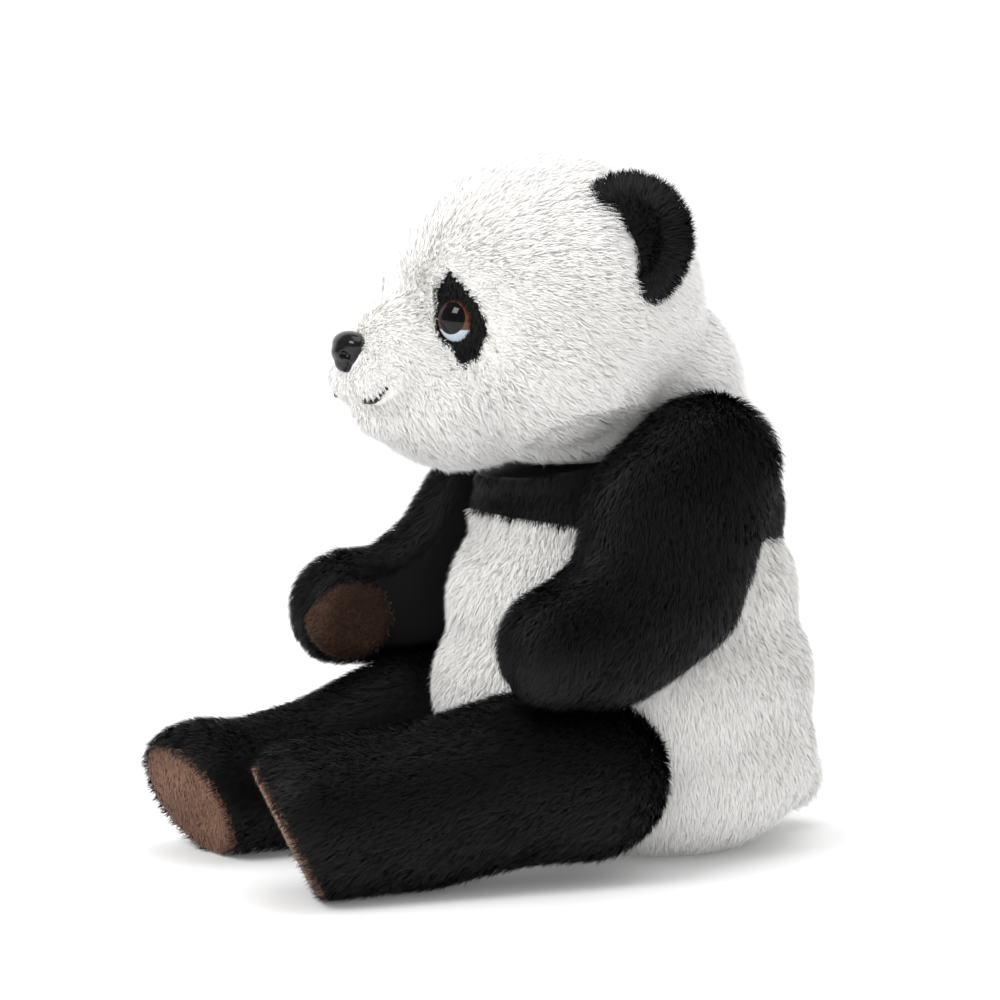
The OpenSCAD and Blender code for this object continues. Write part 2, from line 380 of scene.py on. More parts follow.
def plant(skin, material, nap, length=6.0, density=1.8, lean=0.7, width=0.38, keep=None, seed=1,
          tuft=0.18, tuft_size=6.0, wild=0.1, short=None):
    """Grows blades of pile on a skin. nap gives the way the pile lies at each root; keep and short thin and
    shorten it; length and width are millimetres, density is blades per square millimetre."""
    rng = np.random.default_rng(seed)
    mesh = skin.data
    mesh.calc_loop_triangles()
    corners = np.empty(len(mesh.loop_triangles) * 3, np.int32)
    mesh.loop_triangles.foreach_get("vertices", corners)
    corners = corners.reshape(-1, 3)
    co = vectors_of(mesh.vertices, "co")
    skin_normals = vectors_of(mesh.vertices, "normal")
    a, b, c = (co[corners[:, k]] for k in range(3))
    area = np.linalg.norm(np.cross(b - a, c - a), axis=1) / 2
    count = int(area.sum() * 1e6 * density * PILE_FULLNESS * FUR_SHARE)
    where = rng.choice(len(area), count, p=area / area.sum())
    share = rng.random((count, 2))
    share = np.where(share.sum(axis=1, keepdims=True) > 1, 1 - share, share)
    weights = np.column_stack([1 - share.sum(axis=1), share])
    roots = (co[corners[where]] * weights[:, :, None]).sum(axis=1)
    up = unit((skin_normals[corners[where]] * weights[:, :, None]).sum(axis=1))
    if keep is not None:
        kept = keep(roots, up)
        roots, up = roots[kept], up[kept]
    count = len(roots)
    size = length * MM * rng.uniform(0.75, 1.1, count)
    if short is not None:
        size = size * short(roots, up)
    pull, swell = wave_pull(roots, tuft_size * MM, seed + 1)
    slow, tone = wave_pull(roots, TONE_SIZE * MM, seed + 2)
    flow = unit(along_skin(nap(roots, up), up))
    stray = rng.normal(size=(count, 3))
    start = unit(up * (1 - lean * 0.7) + flow * lean * 0.7 + stray * wild + along_skin(slow, up) * 0.12)
    end = unit(up * (1 - lean) + flow * lean * 1.1 + stray * wild * 1.5 + along_skin(pull, up) * tuft * 2)
    knee = roots + start * (size * 0.5)[:, None]
    tip = knee + end * (size * 0.5)[:, None]
    side = unit(np.cross(start, up + stray * 0.35))
    side *= np.sign((np.cross(side, start) * up).sum(axis=1, keepdims=True) + 1e-9)
    side *= width * MM / 2 * (1 / FUR_SHARE) ** 0.5
    side = side * rng.uniform(0.7, 1.3, (count, 1))
    points = np.stack([roots - side, roots + side, knee + side * 0.8, knee - side * 0.8, tip], axis=1)
    soft = unit(up + along_skin(start, up) * -0.1 + stray * 0.08)
    blade_tone = np.clip(0.5 + 0.28 * tone + 0.12 * swell + rng.normal(size=count) * 0.16, 0.02, 0.98)
    fur = blades_to_mesh(skin.name + "_pile", points, soft, blade_tone)
    fur.data.materials.append(material)
    print(skin.name, "carries", count, "strands")
    return fur


def blades_to_mesh(name, points, soft, tone):
    """Writes all blades into one mesh: a four-sided face, then a three-sided one, for each blade."""
    count = len(points)
    mesh = bpy.data.meshes.new(name)
    mesh.vertices.add(count * BLADE_POINTS)
    mesh.vertices.foreach_set("co", points.astype(np.float32).ravel())
    blade = np.arange(count, dtype=np.int32)[:, None]
    first = blade * BLADE_POINTS
    mesh.loops.add(count * BLADE_CORNERS)
    mesh.loops.foreach_set("vertex_index", (first + np.array([0, 1, 2, 3, 3, 2, 4], np.int32)).ravel())
    mesh.polygons.add(count * BLADE_FACES)
    loop_first = blade * BLADE_CORNERS + np.array([0, 4], np.int32)
    mesh.polygons.foreach_set("loop_start", loop_first.ravel())
    mesh.polygons.foreach_set("use_smooth", np.ones(count * BLADE_FACES, bool))
    layer = mesh.uv_layers.new(name=STRAND_MAP)
    # The strand map runs from the root (0.02) to the tip (0.98); the colour group paints the root end darker
    # as shade.
    across = np.array([-1, 1, 1, -1, -1, 1, 0]) * 0.004
    along_blade = np.array([0.02, 0.02, 0.5, 0.5, 0.5, 0.5, 0.98])
    uv = np.empty((count, BLADE_CORNERS, 2), np.float32)
    uv[:, :, 0] = np.clip(tone[:, None], 0.01, 0.99) + across
    uv[:, :, 1] = along_blade
    layer.data.foreach_set("uv", uv.ravel())
    mesh.update(calc_edges=True)
    mesh.validate()
    mesh.normals_split_custom_set_from_vertices(np.repeat(soft, BLADE_POINTS, axis=0).tolist())
    fur = bpy.data.objects.new(name, mesh)
    bpy.context.scene.collection.objects.link(fur)
    return fur


def only_map(mesh, name):
    """Removes every map of a mesh and gives it one new one."""
    for old in list(mesh.uv_layers):
        mesh.uv_layers.remove(old)
    return mesh.uv_layers.new(name=name)


def map_skin(skin):
    """Gives the skin under the pile a strand map too: each face is a small patch near the root."""
    mesh = skin.data
    layer = only_map(mesh, STRAND_MAP)
    total = np.empty(len(mesh.polygons), np.int32)
    mesh.polygons.foreach_get("loop_total", total)
    face = np.repeat(np.arange(len(total)), total)
    step = np.arange(len(face)) - np.repeat(np.cumsum(total) - total, total)
    turn = step / total[face] * 2 * math.pi
    # Near the root the strand map gives painted shade, so the bare skin between the strands is painted
    # darker.
    uv = np.column_stack([0.5 + 0.02 * np.cos(turn), 0.3 + 0.02 * np.sin(turn)])
    layer.data.foreach_set("uv", uv.astype(np.float32).ravel())


def furry(skin, material, coat):
    """Joins a skin with its coat of pile into one piece."""
    skin.data.materials.append(material)
    map_skin(skin)
    pick(skin, coat)
    bpy.ops.object.join()
    return skin


# %% [markdown]
# ## Where one soft form hides another
# Every lump is remembered as a centre and three radii. That makes it quick to ask which roots lie inside a
# neighbouring limb, so that no strand starts where two covers press against each other.

# %% Helpers for chains of lumps
def both_sides(centre, radii):
    """The same lump on the left and, mirrored, on the right."""
    return [(centre, radii), (on_side(centre, -1), radii)]


def chain(stops, pieces=4):
    """Lumps placed closely along a path of stops, so that a limb is smooth and not beaded."""
    beads = []
    for first, second in zip(stops, stops[1:]):
        for step in range(pieces):
            t = step / pieces
            beads.append(tuple(tuple(a + (b - a) * t for a, b in zip(first[k], second[k])) for k in (0, 1)))
    beads.append(stops[-1])
    return beads


def make_lumps(beads):
    return [lump(centre, radii) for centre, radii in beads]


def inside(points, beads, grow=0.0):
    """True for each point, in metres, that lies in any of the lumps grown by this many millimetres."""
    found = np.zeros(len(points), bool)
    for centre, radii in beads:
        scaled = (points / MM - np.array(centre)) / (np.array(radii) + grow)
        found |= (scaled ** 2).sum(axis=1) < 1
    return found


def plane_height(points, centre, normal):
    """Height over a plane, in millimetres."""
    return (points / MM - np.array(centre)) @ np.array(normal)


def cut_plane(skin, centre, normal, keep_above):
    """Cuts a skin off at a plane and closes the cut."""
    pick(skin)
    bpy.ops.object.mode_set(mode="EDIT")
    bpy.ops.mesh.select_all(action="SELECT")
    bpy.ops.mesh.bisect(plane_co=place(*centre), plane_no=normal, use_fill=True,
                        clear_inner=keep_above, clear_outer=not keep_above)
    bpy.ops.mesh.select_all(action="DESELECT")
    bpy.ops.object.mode_set(mode="OBJECT")


def cut_out(piece, tool):
    """Cuts a tool out of a piece, and removes the tool."""
    add_modifier(piece, "BOOLEAN", operation="DIFFERENCE", object=tool, solver="EXACT")
    bpy.data.objects.remove(tool)


def copy_of(skin, name):
    pick(skin)
    bpy.ops.object.duplicate()
    twin = bpy.context.active_object
    twin.name = name
    twin.data.name = name
    return twin


def patch_of(skin, name, chosen, raise_by, thick):
    """Copies the faces of a skin for which chosen is true, as a thin closed pad that stands proud."""
    pad = copy_of(skin, name)
    faces = pad.data.polygons
    drop = ~chosen(vectors_of(faces, "center"), vectors_of(faces, "normal"))
    open_with(pad, "FACE", drop)
    bpy.ops.mesh.delete(type="FACE")
    bpy.ops.object.mode_set(mode="OBJECT")
    add_modifier(pad, "SOLIDIFY", thickness=thick * MM, offset=-1 + 2 * raise_by / thick)
    print(name, "has", len(pad.data.polygons), "faces")
    return pad


def not_buried(beads, grow=1.0, planes=()):
    """A keep rule for roots: outside the lumps, and above each plane."""
    def rule(roots, up):
        kept = ~inside(roots, beads, grow)
        for centre, normal, least in planes:
            kept &= plane_height(roots, centre, normal) > least
        return kept
    return rule


def nap_towards(way):
    """Pile that lies one way all over."""
    return lambda roots, up: np.broadcast_to(np.array(way, float), roots.shape)


def nap_from(centre, droop):
    """Pile that is brushed away from a point, and a little downwards."""
    def rule(roots, up):
        return unit(roots / MM - np.array(centre)) + np.array([0, 0, -droop])
    return rule


# %% [markdown]
# ## The plan of the filling
# These lists hold every lump of filling: centre first, then its three radii. Left and right are mirrored. The
# right arm reaches further forward than the left one, and the left leg is turned in by a few degrees.

# %% Lumps of filling
NECK = ((0, 0, 166.0), (0, -0.19766, 0.98027))
SEAM = ((0, 0, 133.0), (0, 0.11147, 0.99377))
SOLE = {"left": ((44, -161, 24), (-0.24, -0.865, -0.44)), "right": ((-52, -165, 24), (0.17, -0.886, -0.43))}

HEAD_BEADS = [
    ((0, -33.5, 221), (65.5, 62, 59.5)),
    *both_sides((15, -58, 231), (29, 34, 36)),
    *both_sides((33, -44, 199), (32, 41, 35)),
    ((0, -70, 188), (42, 38, 28)),
    ((0, -98, 181), (19, 15.5, 10)),
    ((0, -91, 203), (27, 28, 20)),
    ((0, -91, 211.5), (19, 24, 17)),
    *both_sides((10.5, -104, 195), (14, 17, 12)),
    ((0, 1, 188), (50, 48, 42)),
    ((0, 10.5, 176), (47, 42.5, 24)),
]
TORSO_BEADS = [
    ((0, 18.5, 38), (64, 65, 43)),
    ((0, 4.5, 66), (66, 79, 55)),
    ((0, 4, 100), (58, 73, 54)),
    ((0, 6, 136), (52, 65, 40)),
    ((0, 2.3, 158), (47, 61.3, 28)),
]
ARM_STOPS = {
    "left": [((64, 6, 160), (20, 31, 29)), ((67, -9, 143), (21, 38, 33)), ((70, -18, 114), (20, 36, 29)),
             ((72, -42, 98.5), (19, 33, 27)), ((74, -65, 96), (18, 21.5, 22))],
    "right": [((64, 6, 160), (20, 31, 29)), ((67, -13, 138), (21, 36, 31)), ((70, -34, 110), (20, 33, 28)),
              ((71, -60, 95), (19, 30, 23)), ((72, -88, 93.5), (18, 22, 22))],
}
LEG_STOPS = {
    "left": [((55, -41, 40), (28.5, 31, 31)), ((55, -70, 41), (28.5, 28, 32)),
             ((55, -108, 33.5), (28, 28, 31)), ((55, -140, 31), (28, 26, 30)),
             ((55, -156, 30.5), (28.5, 26, 29.5))],
    "right": [((55, -43, 40), (28.5, 29.5, 31)), ((55, -70, 41), (28.5, 28, 32)),
              ((55, -108, 29), (28, 28, 28)), ((55, -140, 25.5), (28, 26, 25.5)),
              ((55, -158, 26.5), (28.5, 27, 26))],
}
LEG_TURN = {"left": 7, "right": 0}
HIP = (55, -45)
TAIL_BEADS = [((0, 81, 22), (13, 13, 13))]


def mirrored(beads, sign):
    return [(on_side(centre, sign), radii) for centre, radii in beads]


def toed_in(beads, degrees):
    """Turns the lumps of a left leg inwards about its hip."""
    angle = math.radians(-degrees)
    turned = []
    for (x, y, z), radii in beads:
        x, y = x - HIP[0], y - HIP[1]
        turned.append(((HIP[0] + x * math.cos(angle) - y * math.sin(angle),
                        HIP[1] + x * math.sin(angle) + y * math.cos(angle), z), radii))
    return turned


SIDES = (("left", 1), ("right", -1))
ARM_BEADS = {side: mirrored(chain(ARM_STOPS[side]), sign) for side, sign in SIDES}
LEG_BEADS = {side: mirrored(toed_in(chain(LEG_STOPS[side]), LEG_TURN[side]), sign) for side, sign in SIDES}
ALL_ARMS = ARM_BEADS["left"] + ARM_BEADS["right"]
print("Lumps in an arm:", len(ARM_BEADS["left"]), "and in a leg:", len(LEG_BEADS["left"]))

# %% [markdown]
# ## The filling inside
# Inside each cover is loose polyester fibre. It is a slightly smaller copy of the cover's own skin, made
# before the pile is planted, so it never shows through the fur.

# %% The fibre and how it is copied
FIBRE_GAP = 3.2
FIBRE_VOXEL = 5
fibre, fibre_tree, fibre_shader = plain_material("loose_fibre", (0.86, 0.86, 0.84), 0.95)


def noise_colours(tree, shader, scale, low, high, detail=6.0):
    """Two colours mixed by a fine noise on the object's own coordinates."""
    where = tree.nodes.new("ShaderNodeTexCoord")
    noise = tree.nodes.new("ShaderNodeTexNoise")
    set_inputs(noise, {"Scale": scale, "Detail": detail})
    tree.links.new(where.outputs["Object"], noise.inputs["Vector"])
    ramp = tree.nodes.new("ShaderNodeValToRGB")
    ramp.color_ramp.elements[0].position = 0.3
    ramp.color_ramp.elements[1].position = 0.7
    ramp.color_ramp.elements[0].color = (*low, 1)
    ramp.color_ramp.elements[1].color = (*high, 1)
    tree.links.new(noise.outputs["Fac"], ramp.inputs["Fac"])
    tree.links.new(ramp.outputs["Color"], shader.inputs["Base Color"])
    bump = tree.nodes.new("ShaderNodeBump")
    set_inputs(bump, {"Strength": 0.3, "Distance": 0.0004})
    tree.links.new(noise.outputs["Fac"], bump.inputs["Height"])
    tree.links.new(bump.outputs["Normal"], shader.inputs["Normal"])


noise_colours(fibre_tree, fibre_shader, 420, (0.72, 0.72, 0.70), (0.92, 0.92, 0.90))


def filling_of(skin, name):
    """A smaller copy of a closed skin, as the fibre inside it."""
    core = copy_of(skin, name)
    add_modifier(core, "REMESH", mode="VOXEL", voxel_size=FIBRE_VOXEL * MM)
    add_modifier(core, "DISPLACE", strength=-FIBRE_GAP * MM, mid_level=0.0)
    core.data.materials.clear()
    core.data.materials.append(fibre)
    return core


# %% [markdown]
# ## The head
# The head is a round ball of filling with a short snout let into its front. Under the nose the snout is
# parted into two cheeks, with a small chin set back below them. The back of the head runs straight down into
# the neck. One skin is wrapped round all of this and cut off at the neck seam. The snout is a piece of its
# own, so the skin is then cut in two along the seam behind it.
#
# A raised arm would push into the cheek of a real toy. The cheeks are therefore pressed in a little, in small
# steps, wherever an arm reaches them at one of its swings, with the head turned either way or not at all.

# %% Shape the head and its snout
SNOUT_SEAM = ((0, -89, 205), (0, -0.97, -0.243))

ARM_PIVOT = (52, 3, 154)
ARM_AXIS = (-0.9962, 0, -0.08716)
SWINGS = (0, 20, 40)
TURNS = (-20, 0, 20)
PRESS_STEP = 1.2
PRESS_STEPS = 6


def turned_back(points, pivot, axis, degrees):
    """Points as they lie before a turn about an axis through a pivot given in millimetres."""
    turn = np.array(Matrix.Rotation(math.radians(-degrees), 3, Vector(axis)))
    centre = np.array(pivot) * MM
    return (points - centre) @ turn.T + centre


def press_cheeks(skin):
    """Presses the skin in where the arms reach it at the ends of their travel."""
    points = vectors_of(skin.data.vertices, "co").astype(float)
    middle = np.array(HEAD_BEADS[0][0]) * MM
    for step in range(PRESS_STEPS):
        pressed = np.zeros(len(points), bool)
        for turn in TURNS:
            moved = turned_back(points, NECK[0], NECK[1], -turn)
            for side, sign in SIDES:
                pivot = on_side(ARM_PIVOT, sign)
                axis = (ARM_AXIS[0], 0, sign * ARM_AXIS[2])
                for swing in SWINGS:
                    pressed |= inside(turned_back(moved, pivot, axis, swing), ARM_BEADS[side], 1.0)
        points[pressed] += unit(middle - points[pressed]) * PRESS_STEP * MM
    skin.data.vertices.foreach_set("co", points.astype(np.float32).ravel())
    skin.data.update()
    add_modifier(skin, "SMOOTH", factor=0.5, iterations=4)
    print("The arms press in", int(pressed.sum()), "points of the head to the end of the give")


head_skin = wrap("head_fur", make_lumps(HEAD_BEADS), voxel=2.4, rounds=9)
press_cheeks(head_skin)
cut_plane(head_skin, NECK[0], NECK[1], keep_above=True)
head_core = filling_of(head_skin, "head_filling")
face_skin = copy_of(head_skin, "whole_face")
muzzle_skin = copy_of(head_skin, "muzzle_fur")
cut_plane(head_skin, *SNOUT_SEAM, keep_above=False)
cut_plane(muzzle_skin, *SNOUT_SEAM, keep_above=True)

# %% [markdown]
# ## The eye patches
# Each patch is an upright leaf of short black pile round the eye, and its outline is a closed curve. The
# faces of the head inside that outline are copied as a thin pad, and the white pile is left out there. The
# places of the nose and smile are worked out here too, because the pile has to keep clear of them.

# %% Shape the patches
EYE = (31, -86, 219.4)
EYE_TURN = math.radians(23)
EYE_WIDE = 8.6
EYE_REACH = 22
PATCH_LINE = [(-3.4, 18.0), (-6.2, 14.4), (-9.2, 11.4), (-8.3, 6.4), (-8.8, 2), (-8.4, -3), (-6.4, -6.8),
              (-2.3, -8.9), (0, -13.1), (2.3, -16.7), (7.8, -14.6), (11.6, -13.0), (14.0, -3.8), (12.7, 1.6),
              (9.2, 7.2), (3.0, 12.8), (-0.8, 15.6)]


def eye_ways(sign):
    """The way across an eye, away from the nose, and the way out of it."""
    across = np.array([sign * math.cos(EYE_TURN), math.sin(EYE_TURN), 0])
    out = np.array([sign * math.sin(EYE_TURN), -math.cos(EYE_TURN), 0])
    return across, out


def eye_plane(points, sign):
    """Places of points seen from an eye: across, upwards and outwards, in millimetres."""
    local = points / MM - np.array(on_side(EYE, sign))
    across, out = eye_ways(sign)
    return local @ across, local[:, 2], local @ out


def in_outline(u, v, line, grow=0.0):
    """True where (u, v) lies inside the closed line, moved outwards by grow."""
    corners = np.array(line, float)
    middle = corners.mean(axis=0)
    rays = corners - middle
    corners = middle + rays * (1 + grow / np.linalg.norm(rays, axis=1, keepdims=True))
    found = np.zeros(len(u), bool)
    for (u0, v0), (u1, v1) in zip(corners, np.roll(corners, -1, axis=0)):
        crosses = (v0 > v) != (v1 > v)
        found ^= crosses & (u < (u1 - u0) * (v - v0) / (v1 - v0 + 1e-9) + u0)
    return found


def on_patch(sign, grow=0.0):
    def rule(points, facing):
        u, v, out = eye_plane(points, sign)
        return in_outline(u, v, PATCH_LINE, grow) & (out > -EYE_REACH)
    return rule


patch_skins = {side: patch_of(face_skin, side + "_eye_patch_fur", on_patch(sign, 0.6),
                              raise_by=0.35, thick=1.2) for side, sign in SIDES}


def near_eye(points, sign, reach):
    u, v, out = eye_plane(points, sign)
    return (u ** 2 + v ** 2 < reach ** 2) & (out > -EYE_REACH)


NOSE = (0, -118.5, 206.5)
NOSE_RADII = (10.5, 9, 8.5)
STITCH_PROUD = 1.4
SMILE_BACK = -95
SMILE_LINE = [(14.3, 187.8), (16.2, 187.6), (18.0, 188.1), (19.8, 189.3), (21.3, 191.0), (22.3, 193.0)]


def skin_front(skin, x, z):
    """How far forward a skin reaches at this x and z, in millimetres."""
    hit, spot, normal, face = skin.ray_cast(place(x, -200, z), Vector((0, 1, 0)))
    return spot.y / MM if hit else -100.0


def line_point(t):
    """A point on the line of the smile, from its middle (0) to its corner (1)."""
    place_on = t * (len(SMILE_LINE) - 1)
    k = min(int(place_on), len(SMILE_LINE) - 2)
    f = place_on - k
    return tuple(a + (b - a) * f for a, b in zip(SMILE_LINE[k], SMILE_LINE[k + 1]))


SMILE_STEPS = 48
smile_fronts = [skin_front(face_skin, *line_point(k / SMILE_STEPS)) for k in range(SMILE_STEPS + 1)]
eye_depth = {}
for side, sign in SIDES:
    out = Vector(eye_ways(sign)[1])
    centre = Vector(on_side(EYE, sign))
    hit, spot, normal, face = face_skin.ray_cast((centre + out * 60) * MM, -out)
    eye_depth[side] = (spot / MM - centre).dot(out)
print("The skin at the eyes stands", {k: round(v, 1) for k, v in eye_depth.items()}, "mm out")


def smile_point(t, sign):
    """A point of the smile on one side, a little proud of the skin."""
    x, z = line_point(t)
    return Vector((sign * x, smile_fronts[round(t * SMILE_STEPS)] - STITCH_PROUD, z))


def near_smile(points, reach):
    """True for points close to the line of the smile, seen from the front."""
    found = np.zeros(len(points), bool)
    for k in range(SMILE_STEPS + 1):
        x, z = line_point(k / SMILE_STEPS)
        found |= np.hypot(np.abs(points[:, 0]) / MM - x, points[:, 2] / MM - z) < reach
    return found & (points[:, 1] < SMILE_BACK * MM)


def near_nose(points, reach):
    local = (points / MM - np.array(NOSE)) / np.array(NOSE_RADII)
    return (local ** 2).sum(axis=1) < reach ** 2


bpy.data.objects.remove(face_skin)

# %% [markdown]
# ## The pile of the head
# White pile covers the head and the snout, brushed away from the nose. It is left out on the patches, round
# the eyes, and under the nose, smile and ears. It is short round the face and long at the cheeks and nape.

# %% Plant the head
EAR_ROOT = ((51, -22, 247), (24, 7, 24))
NOSE_TIP = (0, -122, 200)
SHORT_AT_NOSE = 0.42
SHORT_AT_EYE = 0.5
PATCH_BARE = 7.4


def fade(distance, start, over):
    """Zero up to the start, then rising to one, in millimetres."""
    return np.clip((distance - start) / over, 0, 1)


def face_rule(roots, up):
    """Keeps white pile off the patches, eyes, ears, nose and smile, and above the neck seam."""
    kept = plane_height(roots, *NECK) > 0.6
    for sign in (1, -1):
        kept &= ~on_patch(sign)(roots, up) & ~near_eye(roots, sign, EYE_WIDE + 0.3)
        kept &= ~inside(roots, mirrored([EAR_ROOT], sign))
    return kept & ~near_nose(roots, 0.9) & ~near_smile(roots, 0.9)


def face_short(roots, up):
    """The pile is short round the nose, mouth and eyes, and long at the cheeks and nape."""
    from_nose = np.linalg.norm(roots / MM - np.array(NOSE_TIP), axis=1)
    size = SHORT_AT_NOSE + (1 - SHORT_AT_NOSE) * fade(from_nose, 12, 45)
    for sign in (1, -1):
        u, v, out = eye_plane(roots, sign)
        eye_size = SHORT_AT_EYE + (1 - SHORT_AT_EYE) * fade(np.hypot(u - 3, v), 17, 14)
        size = np.where(out > -EYE_REACH, np.minimum(size, eye_size), size)
    return size


HEAD_NAP = nap_from((0, -128, 214), 0.45)
head_coat = plant(head_skin, white_fur, HEAD_NAP, length=6.2, density=1.9, short=face_short, seed=11,
                  keep=lambda r, n: face_rule(r, n) & (plane_height(r, *SNOUT_SEAM) < 0.3))
muzzle_coat = plant(muzzle_skin, white_fur, HEAD_NAP, length=6.2, density=2.4, short=face_short, seed=12,
                    keep=lambda r, n: face_rule(r, n) & (plane_height(r, *SNOUT_SEAM) > 0.3))
head_piece = furry(head_skin, white_fur, head_coat)
muzzle_piece = furry(muzzle_skin, white_fur, muzzle_coat)

patch_pieces = {}
for side, sign in SIDES:
    skin = patch_skins[side]
    coat = plant(skin, black_fur, nap_towards((0, 0.3, -1)), length=2.8, density=2.8, width=0.4, wild=0.08,
                 seed=21, keep=lambda r, n, s=sign: ~near_eye(r, s, PATCH_BARE) & (n @ eye_ways(s)[1] > 0))
    patch_pieces[side] = furry(skin, black_fur, coat)

# %% [markdown]
# ## The torso
# The white body is a pear of filling, widest at the belly and flat where it sits. The black yoke closes it at
# the shoulders, and their seam drops towards the back. One skin is wrapped round all the filling and cut in
# two along that seam, so both covers bulge alike on either side of it. Pile is left out only where a limb is
# joined on for good. Under the rest of a limb it grows, or a raised arm would bare a bald patch.

# %% Shape the torso, the yoke and the tail
torso_skin = wrap("torso_fur", make_lumps(TORSO_BEADS), voxel=3.0, rounds=9)
cut_plane(torso_skin, (0, 0, 0.8), (0, 0, 1), keep_above=True)
cut_plane(torso_skin, NECK[0], NECK[1], keep_above=False)
torso_core = filling_of(torso_skin, "torso_filling")
yoke_skin = copy_of(torso_skin, "yoke_fur")
cut_plane(torso_skin, *SEAM, keep_above=False)
cut_plane(yoke_skin, *SEAM, keep_above=True)
tail_skin = wrap("tail_fur", make_lumps(TAIL_BEADS), voxel=2.0, rounds=2)

FLOOR_RULE = ((0, 0, 0), (0, 0, 1), 2.0)
SEAM_GAP = 0.2
SHOULDER_AND_HIP = [beads[side][0] for beads in (ARM_BEADS, LEG_BEADS) for side in beads]
torso_rule = not_buried(SHOULDER_AND_HIP + TAIL_BEADS, -6.0, [FLOOR_RULE])
torso_coat = plant(torso_skin, white_fur, nap_towards((0, 0, -1)), length=5.8, density=1.7, seed=31,
                   keep=lambda r, n: torso_rule(r, n) & (plane_height(r, *SEAM) < -SEAM_GAP))
yoke_rule = not_buried(ALL_ARMS + HEAD_BEADS, -6.0)
yoke_coat = plant(yoke_skin, black_fur, nap_from((0, 0, 190), 0.4), length=5.6, density=1.8, seed=32,
                  keep=lambda r, n: (yoke_rule(r, n) & (plane_height(r, *SEAM) > SEAM_GAP)
                                     & (plane_height(r, *NECK) < -0.5)))
tail_coat = plant(tail_skin, white_fur, nap_towards((0, 0.6, -1)), length=6.0, density=1.4, seed=33,
                  keep=not_buried(TORSO_BEADS, -1.5))
torso_piece = furry(torso_skin, white_fur, torso_coat)
yoke_piece = furry(yoke_skin, black_fur, yoke_coat)
tail_piece = furry(tail_skin, white_fur, tail_coat)

# %% [markdown]
# ## The arms
# An arm is a fur tube packed with filling. It bends at the elbow and tapers to a blunt paw with a pad on its
# inner side. It is cut flat where it lies against the torso. The pad is copied from the arm's own skin, so it
# follows its form, and the pile follows the line of the arm from the shoulder to the paw.

# %% Shape the arms
ARM_FLAT = ((52.6, 3, 154), (0.9962, 0, 0.08716))
PALM = {"left": (57, -68, 91), "right": (-57, -91, 89.5)}
PALM_WIDE = 16.5
PALM_LONG = 1.05
arm_pieces = {}
arm_cores = {}
palm_pieces = {}


def make_arm(side, sign):
    """Makes the cover, the filling and the palm pad of one arm."""
    beads = ARM_BEADS[side]
    skin = wrap(side + "_arm_fur", make_lumps(beads), voxel=2.4, rounds=7)
    flat = [on_side(v, sign) for v in ARM_FLAT]
    cut_plane(skin, *flat, keep_above=True)
    soften(skin, voxel=2.0)
    arm_cores[side] = filling_of(skin, side + "_arm_filling")
    palm = PALM[side]

    def on_palm(points, facing, palm=palm, sign=sign):
        local = points / MM - np.array(palm)
        near = (local[:, 1] / PALM_LONG) ** 2 + local[:, 2] ** 2 < PALM_WIDE ** 2
        return near & (facing[:, 0] * sign < -0.35)

    pad = patch_of(skin, side + "_palm_fur", on_palm, raise_by=0.5, thick=1.6)
    stops = [np.array(c) for c, r in beads]

    def along_arm(roots, up, stops=stops):
        nearest = np.argmin([np.linalg.norm(roots / MM - s, axis=1) for s in stops], axis=0)
        ways = np.array([stops[min(k + 1, len(stops) - 1)] - stops[max(k - 1, 0)] for k in range(len(stops))])
        return ways[nearest] + np.array([0, 0, -8.0])

    def arm_rule(roots, up, palm_rule=on_palm, flat=flat, sign=sign):
        hidden = (plane_height(roots, *flat) < 0.6) | inside(roots, TORSO_BEADS, -3)
        return ~hidden & ~palm_rule(roots, up)

    coat = plant(skin, black_fur, along_arm, length=6.0, density=1.8, seed=41, keep=arm_rule)
    pad_coat = plant(pad, palm_fur, nap_towards((0, -1, -0.5)), length=2.6, density=2.6, width=0.4, seed=42,
                     keep=lambda r, n, s=sign: n[:, 0] * s < -0.2)
    arm_pieces[side] = furry(skin, black_fur, coat)
    palm_pieces[side] = furry(pad, palm_fur, pad_coat)


# %% [markdown]
# ## The legs
# A leg is a thick tube that lies on the floor, so its underside is cut flat. It is cut square at the foot
# too, where the brown sole is sewn in. The sole is copied from the leg's skin and stands a little proud.

# %% Shape the legs
leg_pieces = {}
leg_cores = {}
sole_pieces = {}


def make_leg(side):
    """Makes the cover, the filling and the sole of one leg."""
    skin = wrap(side + "_leg_fur", make_lumps(LEG_BEADS[side]), voxel=2.6, rounds=7)
    sole = SOLE[side]
    cut_plane(skin, (0, 0, 1.2), (0, 0, 1), keep_above=True)
    cut_plane(skin, *sole, keep_above=False)

    def on_sole(points, facing, sole=sole):
        return (plane_height(points, *sole) > -1.0) & (facing @ np.array(sole[1]) > 0.5)

    soften(skin, voxel=2.2)
    leg_cores[side] = filling_of(skin, side + "_leg_filling")
    pad = patch_of(skin, side + "_sole_fur", on_sole, raise_by=0.9, thick=2.4)

    def leg_rule(roots, up, sole_rule=on_sole):
        return ~sole_rule(roots, up) & ~inside(roots, TORSO_BEADS, -4) & (roots[:, 2] > 1.6 * MM)

    coat = plant(skin, black_fur, nap_towards((0, -1, -0.35)), length=6.0, density=1.6, seed=51,
                 keep=leg_rule)
    pad_coat = plant(pad, brown_fur, nap_towards((0, 0.3, -1)), length=2.6, density=2.4, width=0.4, seed=52,
                     keep=lambda r, n, s=sole: n @ np.array(s[1]) > 0.2)
    leg_pieces[side] = furry(skin, black_fur, coat)
    sole_pieces[side] = furry(pad, brown_fur, pad_coat)


for side, sign in SIDES:
    make_arm(side, sign)
    make_leg(side)
